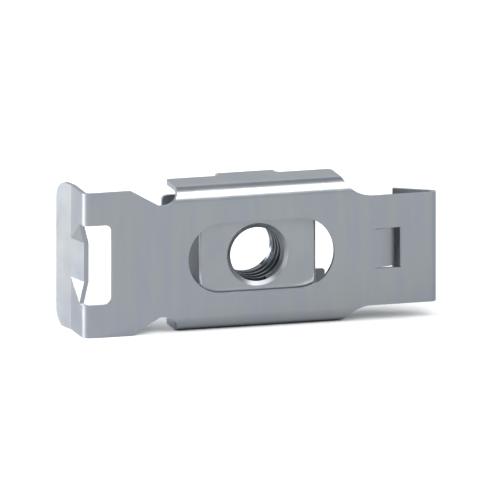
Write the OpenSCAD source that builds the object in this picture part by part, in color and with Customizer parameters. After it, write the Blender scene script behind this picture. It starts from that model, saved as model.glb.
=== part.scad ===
// Clip-on cage nut for equipment racks: one folded strip of spring steel
// that carries a loose threaded nut.
//
// Millimetres, +Z up. The strip's length runs along X, with its head at -X
// and its tail at +X. Its front face looks along -Y, and the nut sits behind it.
// The origin is the centre of the nut's thread.

/* [Nut] */
// Outside diameter of the screw thread
thread_d = 6; // [5:0.5:6]
// Pitch of the screw thread
thread_pitch = 1; // [0.75:0.05:1.25]
// Width of the nut along the strip
nut_w = 11.5; // [10:0.1:13]
// Height of the nut
nut_h = 11.5; // [10.5:0.1:13]
// Thickness of the nut
nut_t = 5.25; // [4:0.05:6.5]
// Rounding of the nut's edges
nut_edge_r = 0.4; // [0.3:0.05:0.6]
// Depth of the countersink at each mouth of the thread
countersink = 0.5; // [0.2:0.05:0.8]

/* [Play of the nut] */
// Gap between the nut and the sheet, at the front and at the back
run_gap = 0.22; // [0.05:0.01:0.3]
// Gap between the nut and the flange above it, and the one below it
height_gap = 0.7; // [0.3:0.05:1]
// How far the nut slides each way before it is flush with the cage's end
slide_gap = 2.35; // [1.5:0.01:3.5]
// How far the middle of the cage lies from the resting nut's thread
cage_x = 0.18; // [-0.5:0.02:0.5]

/* [Sheet] */
// Thickness of the spring steel
sheet_t = 0.45; // [0.35:0.01:0.6]
// Inside radius of the two long bends in front of the nut
cage_bend_r = 1; // [0.85:0.05:1.1]
// Inside radius of the two bends behind the nut
rear_bend_r = 0.6; // [0.3:0.05:0.9]

/* [Front window] */
// Space above and below the screw in the obround window
window_play = 0.4; // [0.1:0.05:0.8]
// Length of the obround window
window_l = 14.3; // [11:0.1:15]

/* [Cage] */
// Distance from the front face to the flanges' rear edges
flange_depth = 4.6; // [3.5:0.05:5]
// Rounding of the flanges' rear corners
flange_corner_r = 0.55; // [0.4:0.05:1.2]
// Width of the bridge that carries each rear wing
bridge_w = 5.5; // [4:0.1:8]
// Radius in the corners between a bridge and its flange
bridge_fillet_r = 0.5; // [0.2:0.05:0.8]
// How far each wing's end lies inside the cage's end
wing_inset = 0.15; // [0:0.01:0.5]
// Distance from each rear bend's end to its wing's outer edge
wing_drop = 0.9; // [0.3:0.05:1.2]
// Radius in the corners between a bridge and its wing
wing_fillet_r = 0.5; // [0.1:0.05:0.8]
// Rounding of the wings' outer corners
wing_end_r = 0.5; // [0.3:0.05:1]
// Rounding of the wings' corners beside the screw
wing_corner_r = 0.2; // [0.1:0.05:0.5]
// Space between the screw and each wing
wing_play = 0.05; // [0.02:0.01:0.3]

/* [Head] */
// Height of the head
head_h = 13.9; // [13:0.1:16]
// Distance from the cage's end to the lip's outer face
head_l = 9.3; // [8.6:0.02:12]
// Length of the head's full height, measured from the lip's outer face
head_flat_l = 4.7; // [4:0.1:5]
// Slope of the shoulders that lead down to the neck
shoulder_angle = 30; // [28:1:45]
// How far the neck's edges lie inside the lines where the cage bends start
neck_step = 0.09; // [0.02:0.01:0.3]
// Radius of the relief notch between the neck and each flange
notch_r = 1.4; // [1:0.05:1.45]

/* [Lip] */
// Inside radius of the bend between the head and the lip
lip_bend_r = 0.3; // [0.15:0.05:0.6]
// Distance from the front face to the crease where the lip flares
lip_crease_y = 4.29; // [3.6:0.01:5]
// Distance from the front face to the lip's free edge
lip_depth = 7.1; // [6:0.1:8.5]
// Flare of the lip past its crease
lip_flare = 13; // [8:1:18]
// Rounding of the lip's free corners
lip_corner_r = 1.7; // [0.6:0.05:2]

/* [Head window and pressed valley] */
// Height of the window that wraps round the lip's bend
head_window_h = 7.7; // [7:0.1:9]
// Distance from the lip's outer face to the window's edge in the head
head_window_l = 2.8; // [2:0.05:3.4]
// Rounding of the window's corners in the head
head_window_r = 0.7; // [0.3:0.05:1]
// Depth of the window into the lip beside the valley
head_window_d = 1.39; // [1.2:0.01:2]
// Extra depth of the window at the valley's floor
valley_cut = 0.44; // [0.1:0.02:0.8]
// Width of the valley's floor
valley_w = 3.74; // [2:0.02:3.9]
// Spread of the valley's two sides, measured on the lip
valley_spread = 33; // [20:1:35]

/* [Tail] */
// Distance from the cage's end to the tail's end
tail_l = 9.13; // [8.4:0.01:12]
// Height of the tail's upper edge above the thread's axis
tail_top = 5.05; // [4:0.02:5.3]
// Radius where the cage runs out into the tail
tail_blend_r = 3.2; // [2:0.1:3.4]
// Inside radius of the bend at the tail's end
hook_bend_r = 0.25; // [0.15:0.05:0.6]
// Angle between the tail and the hook that is folded back behind it
hook_angle = 31.5; // [20:0.5:45]
// Length of the hook's straight leg
hook_l = 3.6; // [2:0.05:4]

/* [Lanced tab] */
// Width of the tab
tab_w = 3.66; // [2.4:0.02:5]
// Gap between the tab and the tail, at its sides and at its free end
tab_slit = 0.1; // [0.06:0.01:0.3]
// Length of the tab along its front face
tab_l = 2.43; // [1.6:0.01:2.8]
// Distance from the tab's slot to the tail's end
tab_setback = 3.55; // [2.4:0.01:4]
// Radius of the tab's front face, which curls towards the back
tab_curl_r = 3.6; // [2.6:0.1:8]

/* [Hidden] */
$fn = 96;

// A cutter's overshoot past the faces that it opens.
over = 1;

// The thread is a plain bore at the size that its tap drill leaves.
minor_d = thread_d - thread_pitch;

// Section of the cage. The front face is at y = 0 in these sizes.
cage_bend_out = cage_bend_r + sheet_t;
rear_bend_out = rear_bend_r + sheet_t;
cage_h = nut_h + 2 * height_gap + 2 * sheet_t;
cage_depth = nut_t + 2 * run_gap + 2 * sheet_t;
bend_line_z = cage_h / 2 - cage_bend_out;
rear_bend_y = cage_depth - rear_bend_out;
rear_bend_z = cage_h / 2 - rear_bend_out;
front_y = -(nut_t / 2 + run_gap + sheet_t);

// Places along the strip, from the middle of the cage.
cage_end = nut_w / 2 + slide_gap;
lip_x = -(cage_end + head_l);
tail_x = cage_end + tail_l;

// Window and wings, which leave room for the screw.
window_h = thread_d + 2 * window_play;
wing_end = cage_end - wing_inset;
wing_bottom_z = thread_d / 2 + wing_play;
wing_top_z = rear_bend_z - wing_drop;

// Head and neck.
neck_z = bend_line_z - neck_step;
shoulder_l = (head_h / 2 - neck_z) / tan(shoulder_angle);
shoulder_x = lip_x + head_flat_l;
lip_bend_out = lip_bend_r + sheet_t;

// Tail. Its lower edge runs on from the line where the cage bends start.
hook_bend_out = hook_bend_r + sheet_t;
hook_bend_x = tail_x - hook_bend_out;
tail_bottom = -bend_line_z;
tail_h = tail_top - tail_bottom;

// Lanced tab and its slot.
slot_end_x = tail_x - tab_setback;
tab_root_x = slot_end_x - tab_slit - tab_l;
tab_angle = tab_l / tab_curl_r * 180 / PI;

// Rectangle with its corner at the origin.
module plate_2d(x0, x1, y0, y1) {
    translate([x0, y0])
        square([x1 - x0, y1 - y0]);
}

// Rectangle with one radius on all four corners, centred.
module rounded_2d(w, h, r) {
    square([w - 2 * r, h], center = true);
    square([w, h - 2 * r], center = true);
    for (x = [-1, 1], y = [-1, 1])
        translate([x * (w / 2 - r), y * (h / 2 - r)])
            circle(r);
}

// Fills the corner at the origin between +X and +Y, and leaves a hollow radius.
module fillet_2d(r) {
    difference() {
        square(r);
        translate([r, r])
            circle(r);
    }
}

// What a rounded corner loses: the corner is at the origin, the part at -X, -Y.
module corner_cut_2d(r) {
    difference() {
        translate([-r, -r])
            square(r + over);
        translate([-r, -r])
            circle(r);
    }
}

// Stands a drawing up: its X stays X, its Y becomes Z, and it gets a
// thickness from y0 to y1.
module upright(y0, y1) {
    translate([0, y1, 0])
        rotate([90, 0, 0])
            linear_extrude(y1 - y0)
                children();
}

// Turns a drawing of Y and Z to face along X, from x0 to x1.
module facing_x(x0, x1) {
    translate([x0, 0, 0])
        rotate([90, 0, 90])
            linear_extrude(x1 - x0)
                children();
}

// A pie slice in the XY plane, from direction a0 to direction a1, under 180
// degrees apart.
module slice_2d(r, a0, a1) {
    mid = (a0 + a1) / 2;
    reach = r / cos((a1 - a0) / 4);
    polygon([
        [0, 0],
        [reach * cos(a0), reach * sin(a0)],
        [reach * cos((a0 + mid) / 2), reach * sin((a0 + mid) / 2)],
        [reach * cos(mid), reach * sin(mid)],
        [reach * cos((a1 + mid) / 2), reach * sin((a1 + mid) / 2)],
        [reach * cos(a1), reach * sin(a1)]
    ]);
}

// A bend of the sheet about the Z axis, of height h, from direction a0 to a1.
module bend(r_in, r_out, h, a0, a1) {
    intersection() {
        difference() {
            cylinder(r = r_out, h = h);
            translate([0, 0, -over])
                cylinder(r = r_in, h = h + 2 * over);
        }
        translate([0, 0, -over])
            linear_extrude(h + 2 * over)
                slice_2d(r_out + over, a0, a1);
    }
}

// Outline of the flat front, seen from the front.
module front_outline_2d() {
    head_z = head_h / 2;
    // Head, shoulders and neck.
    polygon([
        [lip_x + lip_bend_out, -head_z],
        [shoulder_x, -head_z],
        [shoulder_x + shoulder_l, -neck_z],
        [-cage_end, -neck_z],
        [-cage_end, neck_z],
        [shoulder_x + shoulder_l, neck_z],
        [shoulder_x, head_z],
        [lip_x + lip_bend_out, head_z]
    ]);
    // Cage, then tail.
    plate_2d(-cage_end, cage_end, -bend_line_z, bend_line_z);
    plate_2d(cage_end, hook_bend_x, tail_bottom, tail_top);
}

// The corner piece of the front view that leads from an edge at height z0 into
// the cage's end, on the upper side. It is tangent to the edge.
module run_out_2d(z0, r) {
    rise = cage_h / 2 - z0;
    run = rise < r ? sqrt(r * r - (r - rise) * (r - rise)) : r;
    difference() {
        plate_2d(0, run, z0, cage_h / 2);
        translate([run, z0 + r])
            circle(r);
    }
}

// Front view of all that the cage bends carry, upper side.
module bend_outline_2d(tail_z) {
    plate_2d(-cage_end, cage_end, 0, cage_h / 2 + over);
    translate([-cage_end, 0])
        mirror([1, 0])
            run_out_2d(neck_z, notch_r);
    translate([cage_end, 0])
        run_out_2d(tail_z, tail_blend_r);
}

// Long bend from the front sheet into the upper flange.
module front_bend(tail_z) {
    reach = max(notch_r, tail_blend_r) + over;
    intersection() {
        translate([-cage_end - reach, cage_bend_out, bend_line_z])
            rotate([0, 90, 0])
                bend(cage_bend_r, cage_bend_out, 2 * (cage_end + reach), 180, 270);
        upright(-over, cage_bend_out + over)
            bend_outline_2d(tail_z);
    }
    // The flat sliver of the run-outs that lies below the bend's start.
    upright(0, sheet_t)
        intersection() {
            bend_outline_2d(tail_z);
            plate_2d(-cage_end - reach, cage_end + reach, min(neck_z, tail_z), bend_line_z);
        }
}

// Upper flange and its bridge, as far as they are flat.
module flange() {
    translate([0, 0, cage_h / 2 - sheet_t])
        linear_extrude(sheet_t) {
            difference() {
                plate_2d(-cage_end, cage_end, cage_bend_out, flange_depth);
                for (side = [0, 1])
                    mirror([side, 0])
                        translate([cage_end, flange_depth])
                            corner_cut_2d(flange_corner_r);
            }
            plate_2d(-bridge_w / 2, bridge_w / 2, flange_depth, rear_bend_y);
            for (side = [0, 1])
                mirror([side, 0])
                    translate([bridge_w / 2, flange_depth])
                        fillet_2d(bridge_fillet_r);
        }
}

// The bridge curls down behind the nut.
module bridge() {
    translate([-bridge_w / 2, rear_bend_y, rear_bend_z])
        rotate([0, 90, 0])
            bend(rear_bend_r, rear_bend_out, bridge_w, 90, 180);
}

// Rear wing: the bridge widens into a bar that holds the nut from behind.
module wing() {
    upright(cage_depth - sheet_t, cage_depth) {
        difference() {
            plate_2d(-wing_end, wing_end, wing_bottom_z, wing_top_z);
            for (side = [0, 1])
                mirror([side, 0]) {
                    translate([wing_end, wing_top_z])
                        corner_cut_2d(wing_end_r);
                    translate([wing_end, wing_bottom_z])
                        mirror([0, 1])
                            corner_cut_2d(wing_corner_r);
                }
        }
        plate_2d(-bridge_w / 2, bridge_w / 2, wing_top_z, rear_bend_z);
        for (side = [0, 1])
            mirror([side, 0])
                translate([bridge_w / 2, wing_top_z])
                    fillet_2d(wing_fillet_r);
    }
}

// Upper half of the cage.
module cage_half(tail_z) {
    front_bend(tail_z);
    flange();
    bridge();
    wing();
}

// Section of the lip behind its bend: a straight part, then the flare.
module lip_2d() {
    flare_l = lip_depth - lip_crease_y;
    in_y = lip_crease_y + sheet_t * tan(lip_flare / 2);
    end_x = lip_x - flare_l * tan(lip_flare);
    polygon([
        [lip_x, lip_bend_out],
        [lip_x, lip_crease_y],
        [end_x, lip_depth],
        [end_x + sheet_t * cos(lip_flare), lip_depth + sheet_t * sin(lip_flare)],
        [lip_x + sheet_t, in_y],
        [lip_x + sheet_t, lip_bend_out]
    ]);
}

// The wedge between the lip and the valley pressed into it. Its floor carries on
// the plane of the flare, and its two sides slope up to the lip. It starts at
// the window's edge. Depths are measured inwards from the lip's outer face: the
// floor is at depth "shift" at the crease, and the wedge is closed at depth
// "base".
module valley_wedge(base, shift) {
    y0 = head_window_d;
    fall = tan(lip_flare);
    side_fall = fall / tan(valley_spread);
    depth0 = shift + fall * (lip_crease_y - y0);
    y1 = lip_crease_y + (shift - base) / fall;
    z0 = valley_w / 2;
    z1 = z0 + (depth0 - base) / side_fall;
    polyhedron(
        points = [
            [lip_x + base, y0, -z1],
            [lip_x + base, y0, z1],
            [lip_x + depth0, y0, z0],
            [lip_x + depth0, y0, -z0],
            [lip_x + base, y1, -z0],
            [lip_x + base, y1, z0]
        ],
        faces = [
            [0, 1, 2, 3],
            [0, 4, 5, 1],
            [2, 5, 4, 3],
            [0, 3, 4],
            [1, 5, 2]
        ]
    );
}

// The lip at the head's end, with the back of its valley.
module lip() {
    translate([0, 0, -head_h / 2])
        linear_extrude(head_h)
            lip_2d();
    translate([lip_x + lip_bend_out, lip_bend_out, -head_h / 2])
        bend(lip_bend_r, lip_bend_out, head_h, 180, 270);
    valley_wedge(sheet_t / 2, sheet_t / cos(lip_flare));
}

// What is cut away from the lip and the head.
module head_cuts() {
    half_h = head_window_h / 2;
    front_edge = lip_x + head_window_l;
    // The valley's hollow.
    valley_wedge(-over / 2, 0);
    // The lip's free corners.
    translate([lip_x, lip_crease_y, 0])
        rotate([0, 0, lip_flare])
            facing_x(-over, sheet_t + over)
                for (side = [0, 1])
                    mirror([0, side])
                        translate([(lip_depth - lip_crease_y) / cos(lip_flare), head_h / 2])
                            corner_cut_2d(lip_corner_r);
    // The window in the head and round its bend.
    upright(-over, lip_bend_out)
        difference() {
            plate_2d(lip_x - over, front_edge, -half_h, half_h);
            for (side = [0, 1])
                mirror([0, side])
                    translate([front_edge, half_h])
                        corner_cut_2d(head_window_r);
        }
    // The window's edge in the lip, deeper where the valley is pressed in.
    start_y = lip_bend_out - lip_bend_r / 2;
    facing_x(lip_x - over, front_edge)
        polygon([
            [start_y, -half_h],
            [head_window_d, -half_h],
            [head_window_d + valley_cut, -valley_w / 2],
            [head_window_d + valley_cut, valley_w / 2],
            [head_window_d, half_h],
            [start_y, half_h]
        ]);
}

// The hook at the tail's end, folded back behind the tail. Its leg is a hair
// smaller than the bend all round and starts inside it, so that the two fuse.
module hook() {
    turn = 180 - hook_angle;
    ease = 0.01;
    root = 0.1;
    translate([hook_bend_x, hook_bend_out, tail_bottom]) {
        bend(hook_bend_r, hook_bend_out, tail_h, -90, turn - 90);
        rotate([0, 0, turn - 90])
            translate([hook_bend_r + ease, -root, ease])
                cube([sheet_t - 2 * ease, hook_l + root, tail_h - 2 * ease]);
    }
}

// The slot that the tab is lanced from.
module tab_slot_2d() {
    plate_2d(tab_root_x, slot_end_x, -tab_w / 2 - tab_slit, tab_w / 2 + tab_slit);
}

// The tab lanced from the tail, curled towards the back.
module tab() {
    translate([tab_root_x, tab_curl_r, -tab_w / 2])
        bend(tab_curl_r - sheet_t, tab_curl_r, tab_w, -90, tab_angle - 90);
}

// The obround window that the screw comes through.
module window_2d() {
    run = window_l - window_h;
    square([run, window_h], center = true);
    for (side = [-1, 1])
        translate([side * run / 2, 0])
            circle(window_h / 2);
}

// The whole clip, with the front face at y = 0 and the cage's middle at x = 0.
module clip_body() {
    union() {
        difference() {
            union() {
                upright(0, sheet_t)
                    front_outline_2d();
                lip();
                hook();
                cage_half(tail_top);
                mirror([0, 0, 1])
                    cage_half(-tail_bottom);
            }
            head_cuts();
            upright(-over, sheet_t + over)
                window_2d();
            upright(-over, sheet_t + over)
                tab_slot_2d();
        }
        tab();
    }
}

module spring_clip() {
    color("#9a9ea4")
        translate([cage_x, front_y, 0])
            clip_body();
}

// The nut: a block with rounded edges, tapped through and countersunk.
module nut() {
    mouth_r = minor_d / 2 + countersink;
    color("#84888d")
        difference() {
            intersection() {
                upright(-nut_t / 2, nut_t / 2)
                    rounded_2d(nut_w, nut_h, nut_edge_r);
                facing_x(-nut_w / 2, nut_w / 2)
                    rounded_2d(nut_t, nut_h, nut_edge_r);
                translate([0, 0, -nut_h / 2])
                    linear_extrude(nut_h)
                        rounded_2d(nut_w, nut_t, nut_edge_r);
            }
            rotate([90, 0, 0])
                cylinder(d = minor_d, h = nut_t + 2 * over, center = true);
            for (side = [0, 1])
                mirror([0, side, 0])
                    translate([0, -nut_t / 2, 0])
                        rotate([-90, 0, 0])
                            cylinder(r1 = mouth_r, r2 = minor_d / 2, h = countersink);
        }
}

spring_clip();
nut();
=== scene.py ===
import math

import bmesh
import bpy
from mathutils import Matrix, Vector


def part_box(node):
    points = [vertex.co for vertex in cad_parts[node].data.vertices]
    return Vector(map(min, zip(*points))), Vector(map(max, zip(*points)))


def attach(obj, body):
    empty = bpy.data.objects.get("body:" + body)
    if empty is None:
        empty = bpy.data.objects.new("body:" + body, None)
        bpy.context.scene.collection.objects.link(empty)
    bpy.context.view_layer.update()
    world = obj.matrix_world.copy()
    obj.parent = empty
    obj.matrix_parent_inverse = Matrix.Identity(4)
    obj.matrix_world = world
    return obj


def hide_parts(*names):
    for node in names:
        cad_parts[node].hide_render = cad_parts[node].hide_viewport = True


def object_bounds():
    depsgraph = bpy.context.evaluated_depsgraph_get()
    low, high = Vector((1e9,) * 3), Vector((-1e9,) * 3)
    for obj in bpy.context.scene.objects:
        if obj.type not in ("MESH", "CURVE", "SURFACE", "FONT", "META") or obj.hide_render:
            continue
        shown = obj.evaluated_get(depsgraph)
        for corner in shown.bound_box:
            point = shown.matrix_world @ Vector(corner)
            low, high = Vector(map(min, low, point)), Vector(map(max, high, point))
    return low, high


MM = 0.001
# Facets round a full circle.
FACETS = 96

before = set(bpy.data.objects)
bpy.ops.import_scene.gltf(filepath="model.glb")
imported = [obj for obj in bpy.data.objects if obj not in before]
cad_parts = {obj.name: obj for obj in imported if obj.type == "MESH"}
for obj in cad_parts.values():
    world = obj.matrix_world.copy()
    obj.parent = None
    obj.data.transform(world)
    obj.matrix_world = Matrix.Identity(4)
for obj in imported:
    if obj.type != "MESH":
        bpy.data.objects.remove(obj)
cad_low, cad_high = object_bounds()
nut_low, nut_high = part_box("nut")


# ---------------------------------------------------------------- colours
def linear(code):
    """An sRGB hex colour as linear red, green, blue and alpha."""
    parts = [int(code[i : i + 2], 16) / 255 for i in (1, 3, 5)]
    return [p / 12.92 if p <= 0.04045 else ((p + 0.055) / 1.055) ** 2.4 for p in parts] + [1.0]


# What reflections see of the floor and of the room, which look white to the eye.
FLOOR_GREY = "#A8AAAC"
ROOM_GREY = "#A0A4A8"


# ---------------------------------------------------------------- materials
def add_node(tree, kind, settings=(), links=()):
    """Adds a node. Settings name its sockets or its own properties; links name a
    socket of it and the node and socket that feed it."""
    made = tree.nodes.new(kind)
    for name, value in dict(settings).items():
        if hasattr(made, str(name)):
            setattr(made, name, value)
        else:
            made.inputs[name].default_value = value
    for socket, (source, output) in dict(links).items():
        tree.links.new(source.outputs[output], made.inputs[socket])
    return made


def new_material(name):
    """A new material whose tree is still empty, and that tree."""
    made = bpy.data.materials.new(name)
    made.use_nodes = True
    made.node_tree.nodes.clear()
    return made, made.node_tree


def zinc_plated_spring_steel():
    """Cold-rolled spring steel with a thin bright zinc plate: a satin grey metal,
    faintly banded across the strip by rolling, with a slightly uneven sheen."""
    made, tree = new_material("zinc_plated_spring_steel")
    place = add_node(tree, "ShaderNodeTexCoord")
    # Rolling bands: about 1.2 mm wide along the strip and 9 mm long across it.
    band_place = add_node(
        tree,
        "ShaderNodeMapping",
        {"Scale": (1 / (1.2 * MM), 1 / (4 * MM), 1 / (9 * MM))},
        {"Vector": (place, "Object")},
    )
    bands = add_node(
        tree,
        "ShaderNodeTexNoise",
        {"Scale": 1.0, "Detail": 3.0, "Roughness": 0.6},
        {"Vector": (band_place, "Vector")},
    )
    tone = add_node(tree, "ShaderNodeValToRGB", {}, {"Fac": (bands, "Fac")})
    tone.color_ramp.elements[0].position = 0.36
    tone.color_ramp.elements[0].color = linear("#B4B8C0")
    tone.color_ramp.elements[1].position = 0.64
    tone.color_ramp.elements[1].color = linear("#B9BCBD")
    # Uneven plating: patches of about 2.5 mm that are a little duller.
    patches = add_node(
        tree,
        "ShaderNodeTexNoise",
        {"Scale": 1 / (2.5 * MM), "Detail": 4.0, "Roughness": 0.55},
        {"Vector": (place, "Object")},
    )
    dullness = add_node(
        tree,
        "ShaderNodeMapRange",
        {"From Min": 0.3, "From Max": 0.7, "To Min": 0.30, "To Max": 0.36},
        {"Value": (patches, "Fac")},
    )
    # Rolling grain: scratches 0.05 mm wide are too fine to show, so they are
    # drawn 0.12 mm wide.
    grain_place = add_node(
        tree,
        "ShaderNodeMapping",
        {"Scale": (1 / (0.12 * MM), 1 / (0.12 * MM), 1 / (3 * MM))},
        {"Vector": (place, "Object")},
    )
    grain = add_node(
        tree, "ShaderNodeTexNoise", {"Scale": 1.0, "Detail": 2.0}, {"Vector": (grain_place, "Vector")}
    )
    relief = add_node(
        tree,
        "ShaderNodeBump",
        {"Strength": 0.10, "Distance": 0.01 * MM},
        {"Height": (grain, "Fac")},
    )
    metal = add_node(
        tree,
        "ShaderNodeBsdfPrincipled",
        {"Metallic": 1.0},
        {"Base Color": (tone, "Color"), "Roughness": (dullness, "Result"), "Normal": (relief, "Normal")},
    )
    add_node(tree, "ShaderNodeOutputMaterial", {}, {"Surface": (metal, "BSDF")})
    return made


def zinc_plated_nut_steel(name, dark, light, dull):
    """Steel with a zinc plate, in clouds of two tones and with a finely pitted skin.
    The nut's faces are as light as the strip. Its sides are the darkest, as painted shade from the clip's
    cage, and the dullest.
    Its thread lies between them in tone, as painted shade deep in the bore, and is the shiniest."""
    made, tree = new_material(name)
    place = add_node(tree, "ShaderNodeTexCoord")
    # Plating clouds of about 3 mm.
    clouds = add_node(
        tree,
        "ShaderNodeTexNoise",
        {"Scale": 1 / (3 * MM), "Detail": 4.0, "Roughness": 0.6},
        {"Vector": (place, "Object")},
    )
    tone = add_node(tree, "ShaderNodeValToRGB", {}, {"Fac": (clouds, "Fac")})
    tone.color_ramp.elements[0].position = 0.35
    tone.color_ramp.elements[0].color = linear(dark)
    tone.color_ramp.elements[1].position = 0.65
    tone.color_ramp.elements[1].color = linear(light)
    dullness = add_node(
        tree,
        "ShaderNodeMapRange",
        {"From Min": 0.3, "From Max": 0.7, "To Min": dull, "To Max": dull + 0.08},
        {"Value": (clouds, "Fac")},
    )
    # Skin: pits of about 0.15 mm.
    skin = add_node(
        tree, "ShaderNodeTexNoise", {"Scale": 1 / (0.15 * MM), "Detail": 2.0}, {"Vector": (place, "Object")}
    )
    relief = add_node(
        tree,
        "ShaderNodeBump",
        {"Strength": 0.08, "Distance": 0.01 * MM},
        {"Height": (skin, "Fac")},
    )
    metal = add_node(
        tree,
        "ShaderNodeBsdfPrincipled",
        {"Metallic": 1.0},
        {"Base Color": (tone, "Color"), "Roughness": (dullness, "Result"), "Normal": (relief, "Normal")},
    )
    add_node(tree, "ShaderNodeOutputMaterial", {}, {"Surface": (metal, "BSDF")})
    return made


def matt_white_board():
    """Matt white painted board for the floor. The metal sees it greyer than the
    eye does, so that it doesn't flood the part's underside with light."""
    made, tree = new_material("matt_white_board")
    ray = add_node(tree, "ShaderNodeLightPath")
    tone = add_node(tree, "ShaderNodeValToRGB", {}, {"Fac": (ray, "Is Camera Ray")})
    tone.color_ramp.elements[0].color = linear(FLOOR_GREY)
    tone.color_ramp.elements[1].color = linear("#F6F6F5")
    paint = add_node(tree, "ShaderNodeBsdfPrincipled", {"Roughness": 0.9}, {"Base Color": (tone, "Color")})
    add_node(tree, "ShaderNodeOutputMaterial", {}, {"Surface": (paint, "BSDF")})
    return made


# ---------------------------------------------------------------- shapes
def finished(bm, name, materials, sharp=30):
    """Turns a bmesh into an object with smooth faces and crisp edges."""
    bmesh.ops.recalc_face_normals(bm, faces=bm.faces)
    mesh = bpy.data.meshes.new(name)
    bm.to_mesh(mesh)
    bm.free()
    mesh.shade_smooth()
    mesh.set_sharp_from_angle(angle=math.radians(sharp))
    for material in materials:
        mesh.materials.append(material)
    made = bpy.data.objects.new(name, mesh)
    bpy.context.scene.collection.objects.link(made)
    return made


def nut_block(low, high, rounding):
    """The nut's block with its rounded edges."""
    bm = bmesh.new()
    bmesh.ops.create_cube(bm, size=1)
    bmesh.ops.scale(bm, vec=high - low, verts=bm.verts)
    bmesh.ops.translate(bm, vec=(low + high) / 2, verts=bm.verts)
    bmesh.ops.bevel(
        bm,
        geom=bm.edges[:],
        offset=rounding,
        affect="EDGES",
        segments=6,
        profile=0.5,
        material=-1,
    )
    return bm


def thread_cutter(minor_r, major_r, pitch, reach):
    """The tap: a helical thread along Y, longer than the nut at both ends."""
    bm = bmesh.new()
    # The first turn and the last don't close, so it starts longer and is cut back.
    turns = math.ceil(2 * reach / pitch) + 3
    # One pitch, as shares of it: the nut's crest, a flank, the root, a flank.
    tooth = ((0, minor_r), (0.25, minor_r), (0.5625, major_r), (0.6875, major_r))
    points = [((turn + along) * pitch, r) for turn in range(turns) for along, r in tooth]
    start = -turns * pitch / 2
    verts = [bm.verts.new((r, start + along, 0)) for along, r in points]
    edges = [bm.edges.new(pair) for pair in zip(verts, verts[1:])]
    bmesh.ops.spin(
        bm,
        geom=verts + edges,
        cent=(0, 0, 0),
        axis=(0, 1, 0),
        dvec=(0, pitch / FACETS, 0),
        angle=2 * math.pi,
        steps=FACETS,
        use_merge=False,
    )
    bmesh.ops.remove_doubles(bm, verts=bm.verts, dist=0.002 * MM)
    for side in (-1, 1):
        cut = bmesh.ops.bisect_plane(
            bm,
            geom=bm.verts[:] + bm.edges[:] + bm.faces[:],
            plane_co=(0, side * reach, 0),
            plane_no=(0, side, 0),
            clear_outer=True,
        )
        rim = [e for e in cut["geom_cut"] if isinstance(e, bmesh.types.BMEdge)]
        bmesh.ops.contextual_create(bm, geom=rim)
    return bm


def countersink_cutter(face_y, side, mouth_r, bore_r):
    """A 90 degree cone that opens the thread's mouth at one face."""
    depth = mouth_r - bore_r
    over = 1 * MM
    bm = bmesh.new()
    bmesh.ops.create_cone(
        bm,
        cap_ends=True,
        segments=FACETS,
        radius1=mouth_r + over,
        radius2=bore_r - depth,
        depth=over + 2 * depth,
    )
    # Where it is as wide as the mouth is set at the origin, then it is turned to
    # taper into the nut.
    bmesh.ops.translate(bm, vec=(0, 0, (over + 2 * depth) / 2 - over), verts=bm.verts)
    into_nut = Matrix.Rotation(side * math.pi / 2, 3, "X")
    bmesh.ops.rotate(bm, cent=(0, 0, 0), matrix=into_nut, verts=bm.verts)
    bmesh.ops.translate(bm, vec=(0, face_y, 0), verts=bm.verts)
    return bm


def cut_with(body, cutters):
    """Cuts the cutters out of the body and deletes them."""
    for cutter in cutters:
        cut = body.modifiers.new("cut", "BOOLEAN")
        cut.operation = "DIFFERENCE"
        cut.solver = "EXACT"
        cut.object = cutter
    ready = body.evaluated_get(bpy.context.evaluated_depsgraph_get())
    mesh = bpy.data.meshes.new_from_object(ready)
    body.modifiers.clear()
    body.data = mesh
    for cutter in cutters:
        bpy.data.objects.remove(cutter)


def threaded_nut(face_finish, side_painted_shade, thread_painted_shade):
    """The nut with its right-hand thread and a countersink at each mouth. The bore
    and the pitch are those of M6 x 1, and the groove is drawn shallower."""
    bore_r, root_r, pitch, mouth_r = 2.5 * MM, 2.7 * MM, 1 * MM, 3.0 * MM
    tap_reach, edge_round = 3.4 * MM, 0.4 * MM
    centre_x = (nut_low.x + nut_high.x) / 2
    body = finished(nut_block(nut_low, nut_high, edge_round), "nut_block", [])
    cutters = [
        finished(thread_cutter(bore_r, root_r, pitch, tap_reach), "tap", []),
        finished(countersink_cutter(nut_low.y, -1, mouth_r, bore_r), "front_sink", []),
        finished(countersink_cutter(nut_high.y, 1, mouth_r, bore_r), "rear_sink", []),
    ]
    for cutter in cutters:
        cutter.data.transform(Matrix.Translation((centre_x, 0, 0)))
    cut_with(body, cutters)
    bm = bmesh.new()
    bm.from_mesh(body.data)
    bpy.data.objects.remove(body)
    bmesh.ops.remove_doubles(bm, verts=bm.verts, dist=0.001 * MM)
    # The thread between the countersinks and the block's outer sides get darker colours: painted
    # shade, for the shade in the bore and inside the clip's cage. Everything else has the finish of the
    # faces.
    axis = Vector((centre_x, 0, 0))
    thread_end = nut_high.y - (mouth_r - bore_r) + 0.01 * MM
    for face in bm.faces:
        middle = face.calc_center_median() - axis
        off_axis = math.hypot(middle.x, middle.z)
        if off_axis < root_r and max(abs(v.co.y) for v in face.verts) < thread_end:
            face.material_index = 2
        elif off_axis > 2 * bore_r and abs(face.normal.y) < 0.5:
            face.material_index = 1
        else:
            face.material_index = 0
    return finished(bm, "threaded_nut", [face_finish, side_painted_shade, thread_painted_shade], sharp=28)


# ---------------------------------------------------------------- the part
clip_finish = zinc_plated_spring_steel()
nut_faces = zinc_plated_nut_steel("zinc_plated_nut_face", dark="#B5B8BD", light="#BCBFC1", dull=0.30)
# The sides' dark colours are painted shade, for the shade inside the clip's cage.
nut_side_painted_shade = zinc_plated_nut_steel("zinc_plated_side_painted_shade", dark="#54595E", light="#5E6367", dull=0.38)
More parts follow.
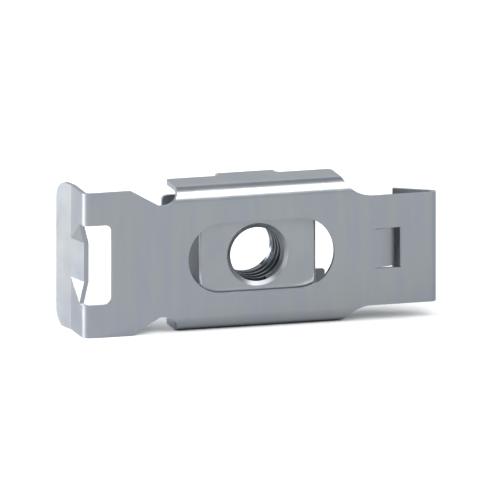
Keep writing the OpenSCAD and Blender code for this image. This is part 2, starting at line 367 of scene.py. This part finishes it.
# The thread's darker colours are painted shade, for the shade deep in the bore.
nut_thread_painted_shade = zinc_plated_nut_steel(
    "zinc_plated_thread_painted_shade", dark="#6E7479", light="#7A7F84", dull=0.20
)

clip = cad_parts["spring_clip"]
clip.data.materials.clear()
clip.data.materials.append(clip_finish)

nut = threaded_nut(nut_faces, nut_side_painted_shade, nut_thread_painted_shade)
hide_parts("nut")
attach(nut, "nut")


# ---------------------------------------------------------------- the studio
def white_floor():
    """A round floor, 3 m across, under the part."""
    radius = 1.5
    bm = bmesh.new()
    bmesh.ops.create_circle(bm, cap_ends=True, segments=FACETS, radius=radius)
    bmesh.ops.translate(bm, vec=(0, 0, cad_low.z), verts=bm.verts)
    made = finished(bm, "white_floor", [matt_white_board()])


def softbox(name, place, width, height, brightness):
    """A white rectangular light that faces the part's middle, with its power
    worked out from how bright its face is."""
    lamp = bpy.data.lights.new(name, "AREA")
    lamp.shape = "RECTANGLE"
    lamp.size, lamp.size_y = width, height
    lamp.energy = brightness * math.pi * width * height
    made = bpy.data.objects.new(name, lamp)
    made.location = place
    made.rotation_mode = "QUATERNION"
    made.rotation_quaternion = (-Vector(place)).to_track_quat("-Z", "Y")
    made.visible_camera = False
    bpy.context.scene.collection.objects.link(made)


def pale_surround():
    """The light that fills in from all round: white to the eye, grey in the metal."""
    made = bpy.data.worlds.new("pale_surround")
    made.use_nodes = True
    tree = made.node_tree
    tree.nodes.clear()
    ray = add_node(tree, "ShaderNodeLightPath")
    tone = add_node(tree, "ShaderNodeValToRGB", {}, {"Fac": (ray, "Is Camera Ray")})
    tone.color_ramp.elements[0].color = linear(ROOM_GREY)
    tone.color_ramp.elements[1].color = linear("#FFFFFF")
    room = add_node(tree, "ShaderNodeBackground", {"Strength": 1.0}, {"Color": (tone, "Color")})
    add_node(tree, "ShaderNodeOutputWorld", {}, {"Surface": (room, "Background")})
    bpy.context.scene.world = made


def parallel_camera(azimuth, elevation, aim, width):
    """A camera with no perspective that sees this width in metres, centred on aim."""
    lens = bpy.data.cameras.new("camera")
    lens.type = "ORTHO"
    lens.ortho_scale = width
    lens.clip_start, lens.clip_end = 0.01, 10
    stand_off = 0.12
    a, e = math.radians(azimuth), math.radians(elevation)
    back = Vector((math.sin(a) * math.cos(e), -math.cos(a) * math.cos(e), math.sin(e)))
    made = bpy.data.objects.new("camera", lens)
    made.location = aim + back * stand_off
    made.rotation_mode = "QUATERNION"
    made.rotation_quaternion = (-back).to_track_quat("-Z", "Y")
    bpy.context.scene.collection.objects.link(made)
    bpy.context.scene.camera = made


white_floor()
softbox("overhead_front", (0.08, -0.28, 0.34), width=0.5, height=0.36, brightness=4.0)
softbox("left_side", (-0.44, 0.10, 0.12), width=0.34, height=0.30, brightness=17.0)
softbox("behind_high", (0.10, 0.42, 0.22), width=0.4, height=0.16, brightness=0.6)
pale_surround()
bpy.context.scene.view_settings.view_transform = "Standard"
bpy.context.scene.view_settings.look = "None"
parallel_camera(
    azimuth=-16.06, elevation=12.64, aim=Vector((-0.945, -3.295, 0.616)) * MM, width=46.99 * MM
)
